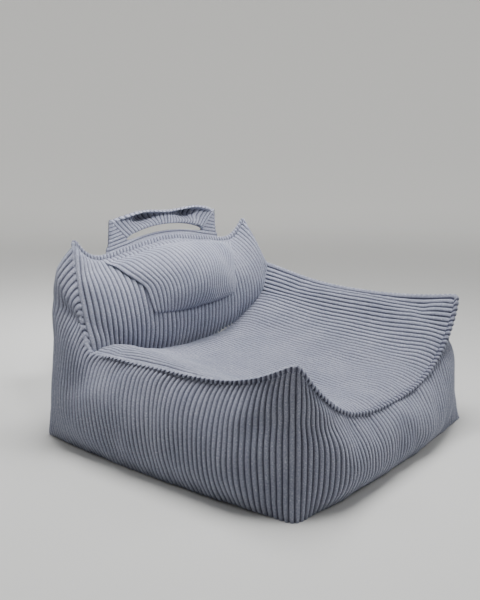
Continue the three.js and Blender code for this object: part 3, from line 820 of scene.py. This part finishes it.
def rim_flange():
    """The allowance, carried round the rim with one bead for each rib."""
    rim = round_edge(top)
    inset = 2 * SUB
    inner = np.pad(top[inset:-inset, inset:-inset], ((inset,) * 2, (inset,) * 2, (0, 0)), "edge")
    outwards = unit(rim - round_edge(inner))
    upwards = unit(rim - smooth_wall[-6])
    side, along = np.arange(LOOP) // SIDE, np.arange(LOOP) % SIDE / SUB
    left = WALES - along
    to_tip = np.where(side == 1, np.minimum(along, left), np.where(side == 0, left, along))
    rise = mix(TIP_RISE, FLANGE_RISE[side], smooth(to_tip / 7))
    from_ear = np.where(side == 0, along, np.where(side == 2, left, WALES))
    on_ear = smooth((EAR_WALES + 2 - from_ear) / 4)
    rise = mix(rise, EAR_RISE, on_ear)
    up = unit(blur_points(unit(outwards + rise[:, None] * upwards), 1.2 * SUB, 0, True))
    tangent = unit(blur_points(np.roll(rim, -3, 0) - np.roll(rim, 3, 0), 0.5 * SUB, 0, True))
    out = unit(np.cross(tangent, up))
    out *= np.sign((out * (outwards - upwards)).sum(-1, keepdims=True))
    rib = WALE_PROFILE[np.arange(LOOP) % SUB] ** 1.7
    crosses = side % 2 == 1  # at the front and the rear the top's ribs run into the rim
    keep = kept_columns(0, LOOP)[:-1]
    rings = []
    for across, height in FLANGE_SECTION:
        share = smooth(height / 3)
        bead = BEAD * rib * share * mix(1, 0.7, crosses) * mix(1, 0.35, on_ear)
        inner_bead = INNER_BEAD * rib * crosses * share
        tall = height * (1 + 0.20 * (rib - 0.7) * np.clip(height / 12, 0, 1))
        wide = across + np.sign(across) * (bead if across > 0 else inner_bead)
        rings.append(rim + out * (wide / 1000)[:, None] + up * (tall / 1000)[:, None])
    grid = np.stack(rings)[:, keep]
    grid = np.concatenate([grid, grid[:, :1]], 1)
    rows, columns = grid.shape[:2]
    faces = grid_faces(rows, columns, True)
    number = np.append(keep, LOOP) / SUB
    # painted shade: the ribs' pile is squeezed towards the grooves' dark colour, less at the rear
    shade = np.interp([height for _, height in FLANGE_SECTION], *FLANGE_SHADE)[:, None]
    shade = mix(shade, 1, 0.7 * (np.append(side[keep], 3) == 3))
    across = (np.round(number) + (number - np.round(number)) * shade).ravel()
    uv = np.stack([across, np.repeat(np.arange(rows) * 0.003, columns)], -1)[faces]
    # on the arms and the ears the inner face is the top's own cloth: one rib along the rim
    rib_row = np.array((0.5,) * (rows - 7) + FLANGE_RIB[::-1])
    along_rim = np.stack([np.repeat(rib_row, columns), np.tile(number * RIM_PITCH, rows)], -1)[faces]
    row, column = faces.min(1) // columns, faces.min(1) % columns
    plain = (row >= rows // 2 - 1) & ~crosses[np.append(keep, LOOP - 1)[column]]
    uv[plain] = along_rim[plain]
    return make_mesh("rim_flange_cloth", grid, faces, uv)


finish_piece(rim_flange(), "rim_flange")


# ---- inner bag and beads ----
def inside_the_bag(name, depth, lump):
    """The filled skin again, a given depth further in."""
    step = 2 * SUB
    points, quads, _, _ = closed_skin(
        top[::step, ::step], bottom[::step, ::step], wall[::WALL_STEP, ::step])
    thing = make_mesh(name, points, quads)
    normal = np.zeros(len(points) * 3)
    thing.data.vertices.foreach_get("normal", normal)
    inward = depth + lump * np.abs(random.normal(0, 1, len(points)))
    place = points + SHIFT - normal.reshape(-1, 3) * inward[:, None]
    place[:, 2] = np.maximum(place[:, 2], depth)
    thing.data.vertices.foreach_set("co", place.ravel())
    thing.data.update()
    return thing


finish_piece(inside_the_bag("inner_bag", 0.0065, 0.0), "liner_lower", "liner_upper",
             slot="liner_cloth", material=LINER)
finish_piece(inside_the_bag("bead_filling", 0.0095, 0.0015), "bead_fill",
             slot="polystyrene_beads", material=BEADS)


# ---- headrest: a pillow sewn into the rear seam, lying over the backrest ----
HEAD_WALES, HEAD_ROWS = 32, 40
HEAD_FROM, HEAD_DROP = 0.045, 0.585  # shares of the way from the rear seam to the crease
HEAD_LENGTH, HEAD_PUFF = 0.21, 0.033
HEAD_RELIEF = 0.75  # the height of its ribs, as a share of the bag's
# share of the length, half width
HEAD_SIDE = ([0, 0.09, 0.18, 0.30, 0.38, 0.487, 0.533, 0.62, 0.8, 0.93, 1],
             [0.232, 0.217, 0.208, 0.200, 0.190, 0.178, 0.169, 0.163, 0.159, 0.155, 0.149])


def on_backrest(x, v):
    """The filled backrest's point at x, v of the way from the rear seam to the crease."""
    row = np.clip(v, 0, 1) * EAR
    first = np.minimum(row.astype(int), EAR - 1)
    out = np.zeros(x.shape + (3,))
    for r in np.unique(first):
        pick = first == r
        share = (row - r)[pick]
        for k in range(3):
            near = np.interp(x[pick], top[r, :, 0], top[r, :, k])
            far = np.interp(x[pick], top[r + 1, :, 0], top[r + 1, :, k])
            out[pick, k] = mix(near, far, share)
    return out


def headrest():
    """The pillow's front and back as grids: columns along its ribs' numbers, rows down the slope."""
    steps = HEAD_WALES * SUB
    a, b = shares(steps, HEAD_ROWS)
    half = blur(np.interp(b[:, 0], *HEAD_SIDE), 1.0, 0, False)[:, None]
    x, v = (2 * a - 1) * half, HEAD_FROM + HEAD_DROP * b + 0.02 * arch(a) * b
    place = on_backrest(x, v)
    down = on_backrest(x, v + 0.03) - on_backrest(x, v - 0.0195)
    lift = np.stack([np.zeros_like(x), down[..., 2], -down[..., 1]], -1)
    lift = unit(blur_points(blur_points(lift, 3.0 * SUB, 1), 2.0, 0))
    place = blur_points(place, 1.0 * SUB, 1)
    side_gap = np.minimum(a, 1 - a) * 2 * half
    foot_gap = (1 - b) * HEAD_LENGTH
    full = arch(0.5 * np.clip(side_gap / 0.18, 0, 1)) ** 1.2 * arch(b ** 1.25) ** 0.8
    rolled = roll_off(side_gap, 0.007) * roll_off(foot_gap, 0.012)
    hover = mix(0.0030, 0.0045, smooth(b / 0.12))
    fat = 0.0025 + 0.004 * smooth(side_gap / 0.03) * smooth(b / 0.15) + HEAD_PUFF * full
    front = hover + mix(0.003, fat, rolled)
    back = hover + mix(0.003, 0.0, rolled)
    profile = WALE_PROFILE[np.arange(steps + 1) % SUB]
    front += patches(HEAD_ROWS + 1, steps + 1, 4, 6) * 0.0016 * rolled * smooth(side_gap / 0.05)
    front += WALE_HEIGHT * HEAD_RELIEF * profile * mix(0.3, 1, rolled) * mix(0.5, 1, smooth(b / 0.08))
    front_grid = place + lift * front[..., None]
    back_grid = place + lift * back[..., None]
    for border in (0, -1):  # the two are sewn together all round
        back_grid[border], back_grid[:, border] = front_grid[border], front_grid[:, border]
    columns = kept_columns(0, steps)
    rows = range(HEAD_ROWS + 1)
    return (panel("headrest_front", front_grid, columns, rows, flip=True),
            panel("headrest_back", back_grid, columns, rows),
            (place, lift, front, back))


def headrest_filling(place, lift, front, back):
    """The pillow's filling, between its front and its back."""
    step = 3 * SUB // 2
    rows, cols = slice(2, -2, 2), slice(step, -step, step)
    low, high = place + lift * (back + 0.0025)[..., None], place + lift * (front - 0.006)[..., None]
    high = np.where((front - back > 0.010)[..., None], high, low + lift * 0.001)
    low, high = low[rows, cols], high[rows, cols]
    rows, cols = low.shape[:2]
    points = np.concatenate([high.reshape(-1, 3), low.reshape(-1, 3)])
    index = np.arange(rows * cols).reshape(rows, cols)
    ring = round_edge(index)
    after = np.roll(ring, -1)
    size = index.size
    sides = np.stack([ring, ring + size, after + size, after], -1)
    faces = np.concatenate([grid_faces(rows, cols, True), grid_faces(rows, cols) + size, sides])
    return make_mesh("headrest_filling", points, faces)


head_front, head_back, head_shape = headrest()
finish_piece(head_front, "headrest_front_cover", body="headrest")
finish_piece(head_back, "headrest_rear_cover", body="headrest")
finish_piece(headrest_filling(*head_shape), "headrest_fill",
             body="headrest", slot="polystyrene_beads", material=BEADS)

# ---- carry handle: an arched strap over a hand slit, and the band below it ----
SLIT_HALF, SLIT_END, SLIT_RISE = 0.137, 0.449, 0.0175  # half length, height of its ends, climb
SLIT_OPEN = 0.0078  # half its height
HANDLE_Y = 0.29935
HANDLE_SIDE = [0.400, 0.429, 0.441, 0.470, 0.499], [0.207, 0.203, 0.196, 0.194, 0.1925]  # z, half width
CORNER = (0.1925, 0.499)
HUMP_X, HUMP_Z, HUMP = 0.0905, 0.4985, 0.0165
GRIP_WALES, GRIP_ROWS = 28, 27
LOWER_PITCH, LOWER_CLIMB = 0.0098, 0.018  # of the ribs below the slit, which climb to the middle
HANDLE_FAT, HANDLE_RELIEF = 0.0040, 0.0027
HANDLE_BENDS = (0, 0.3127, 0.402), (0, 0.3127, 0.448)  # at the sewn foot, and on the strap above it


def bow(x):
    """1 at the middle of the handle, 0 just inside the slit's ends."""
    return 1 - (x / 0.136) ** 2


def slit_middle(x):
    return SLIT_END + SLIT_RISE * bow(x)


def slit_half(x):
    return SLIT_OPEN * np.sqrt(np.clip(1 - (x / SLIT_HALF) ** 4, 0, 1))


def crown(x):
    """The strap's top edge: a hump over each side of the slit, a shallow saddle between."""
    x = np.abs(x) / (2 * HUMP_X)
    return HUMP_Z + HUMP * np.where(x > 0.5, arch(x), 1 - 0.30 * (0.5 + 0.5 * np.cos(2 * np.pi * x)))


def grip():
    """(x, z) of the part above the slit. Its ribs run from the slit to the top edge."""
    outer = spline([(x, 0, crown(x)) for x in np.linspace(-CORNER[0], CORNER[0], 33)])
    upper_lip = -SLIT_HALF * np.cos(np.linspace(0, np.pi, 41))
    inner = spline([(x, 0, slit_middle(x) + slit_half(x)) for x in upper_lip])
    s = np.linspace(0, 1, GRIP_WALES * SUB + 1)
    q = np.linspace(0, 1, GRIP_ROWS)[:, None, None]
    grid = mix(inner(s), outer(s), q)
    far = np.linalg.norm(outer(s) - inner(s), axis=-1)
    rib = np.broadcast_to(s * GRIP_WALES, grid.shape[:2])
    q = q[..., 0]
    return grid, np.minimum(q, 1 - q) * far, rib, q * far


def lower_part():
    """(x, z) below the slit and beside it, up to the mitre. Its ribs run along X, arched."""
    s = np.linspace(-1, 1, 121)[None, :]
    t = np.linspace(0, 1, 73)[:, None]
    side = np.abs(s)
    x_top = CORNER[0] * s
    mitre = np.interp(np.abs(x_top), [SLIT_HALF, CORNER[0]], [SLIT_END, CORNER[1]])
    head = np.where(np.abs(x_top) < SLIT_HALF, slit_middle(x_top) - slit_half(x_top), mitre)
    line = top_seam(np.linspace(0, 1, 400))
    foot = np.interp(HANDLE_SIDE[1][0] * s, line[:, 0], line[:, 2]) - 0.004
    z = mix(foot, head, t)
    x = s * mix(CORNER[0], np.interp(z, *HANDLE_SIDE), side ** 4)
    rib = (z - LOWER_CLIMB * mix(0.4, 1, t) * bow(x) - 0.35) / LOWER_PITCH
    to_slit = np.hypot(np.maximum(np.abs(x) - SLIT_HALF, 0), head - z)
    edge = np.minimum(np.interp(z, *HANDLE_SIDE) - np.abs(x), to_slit)
    grid = np.stack([x, np.zeros_like(x), z], -1)
    return grid, edge, rib, x


def handle_layer(name, face):
    """One layer of the handle; face is -1 for the front and 1 for the rear."""
    points, faces, uvs = [], [], []
    for part in (grip(), lower_part()):
        grid, edge, rib, along = part[0].copy(), *part[1:]
        x, z = np.abs(grid[..., 0]), grid[..., 2]
        fat = HANDLE_FAT * roll_off(edge, 0.010)
        # the top edge and the slit's upper lip come forwards; between them the strap is hollow
        high = np.clip((z - slit_middle(x) - 0.008) / (crown(x) - slit_middle(x) - 0.008), 0, 1)
        over = smooth((SLIT_HALF + 0.03 - x) / 0.05)
        beside = np.exp(-((x - 0.078) / 0.036) ** 2)
        hollow = smooth((high - 0.18) / 0.42) * smooth((0.93 - high) / 0.16)
        bend = (-0.013 * smooth((high - 0.80) / 0.12) * smooth((0.185 - x) / 0.05)
                + 0.030 * hollow * beside * over
                - 0.004 * over * (1 - high) * (high > 0) + 0.0015 * np.sin(grid[..., 0] * 70) * high)
        shape = np.interp(rib % 1, *WALE_SHAPE)
        relief = HANDLE_RELIEF * shape * np.clip(edge / 0.003, 0.4, 1)
        grid[..., 1] = HANDLE_Y + bend + face * (fat + relief)
        if len(grid) == GRIP_ROWS:
            grid[-1, :, 2] += 0.0016 * shape[-1]
            keep = kept_columns(0, x.shape[1] - 1)
            grid, rib, along = grid[:, keep], rib[:, keep], along[:, keep]
        faces.append(grid_faces(*grid.shape[:2], face > 0) + sum(len(p) for p in points))
        points.append(grid.reshape(-1, 3))
        uvs.append(np.stack([rib, along], -1).reshape(-1, 2))
    return make_mesh(name, np.concatenate(points), np.concatenate(faces), np.concatenate(uvs))


finish_piece(handle_layer("handle_front", -1), "handle_front_layer", body="handle", bends=HANDLE_BENDS)
finish_piece(handle_layer("handle_rear", 1), "handle_rear_layer", body="handle", bends=HANDLE_BENDS)

# ---- zip ----
for look, nodes in ((ZIP_TAPE, ("zip_tape_lower", "zip_tape_upper")),
                    (NYLON, ("zip_coil_lower", "zip_coil_upper")),
                    (METAL, ("zip_stop_closed_end", "zip_stop_open_end", "zip_slider", "zip_pull_tab"))):
    for node in nodes:
        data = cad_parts[node].data
        data.materials.clear()
        data.materials.append(look)

# ---- floor and light ----
# the floor's section, distance and height: level, then rising into a backdrop all round
FLOOR_PROFILE = [(0.0, 0.0), (2.5, 0.0), (4.8, 0.0), (5.8, 0.10), (6.8, 0.55), (7.6, 1.5),
                 (8.0, 3.2), (8.1, 5.5)]
turns = np.linspace(0, 2 * np.pi, 49)
ring = np.array([[(r * np.cos(a), r * np.sin(a), z) for a in turns] for r, z in FLOOR_PROFILE])
floor = make_mesh("floor", ring, grid_faces(len(FLOOR_PROFILE), len(turns)), shift=False)
pale = Nodes("floor")
away = pale.add("VectorMath", {0: pale.place}, operation="LENGTH").outputs["Value"]
glow = pale.add(
    "MapRange", {"Value": away, "From Min": 0.7, "From Max": 4.6, "To Min": 0.0, "To Max": 0.50},
    interpolation_type="SMOOTHSTEP").outputs["Result"]
# it glows behind the chair
behind = pale.add("VectorMath", {0: pale.place, 1: (0.096, 0.076, 0.0)},
                  operation="DOT_PRODUCT").outputs["Value"]
glow = pale.maths("MULTIPLY", glow, pale.maths("ADD", behind, 0.35, clamp=True))
pale.set(Base_Color=srgb(207, 207, 205), Roughness=0.8, Specular_IOR_Level=0.15,
         Emission_Color=srgb(244, 243, 239), Emission_Strength=glow)
floor.data.materials.append(pale.material)


def lamp(name, place, target, size, watts, spread=180):
    """A rectangular lamp that faces its target."""
    data = bpy.data.lights.new(name, "AREA")
    data.shape = "RECTANGLE"
    data.size, data.size_y = size
    data.energy = watts
    data.spread = math.radians(spread)
    thing = add_thing(name, data)
    thing.location = place
    thing.rotation_euler = (Vector(target) - Vector(place)).to_track_quat("-Z", "Y").to_euler()


lamp("overhead", (0.0, 0.0, 2.5), (0, 0, 0.2), (1.4, 1.4), 93)
lamp("key", (1.1, -1.9, 2.0), (0, 0.1, 0.3), (1.0, 1.0), 20)
lamp("side", (-1.5, 1.1, 2.6), (0, 0, 0.3), (0.8, 0.8), 14)
lamp("back", (-1.0, -1.6, 2.2), (-0.1, 0.3, 0.80), (0.4, 0.4), 3.2, 24)
world = bpy.data.worlds.new("studio")
world.use_nodes = True
studio = world.node_tree.nodes["Background"].inputs
studio["Color"].default_value = (0.93, 0.94, 0.97, 1)
studio["Strength"].default_value = 0.045
scene.world = world
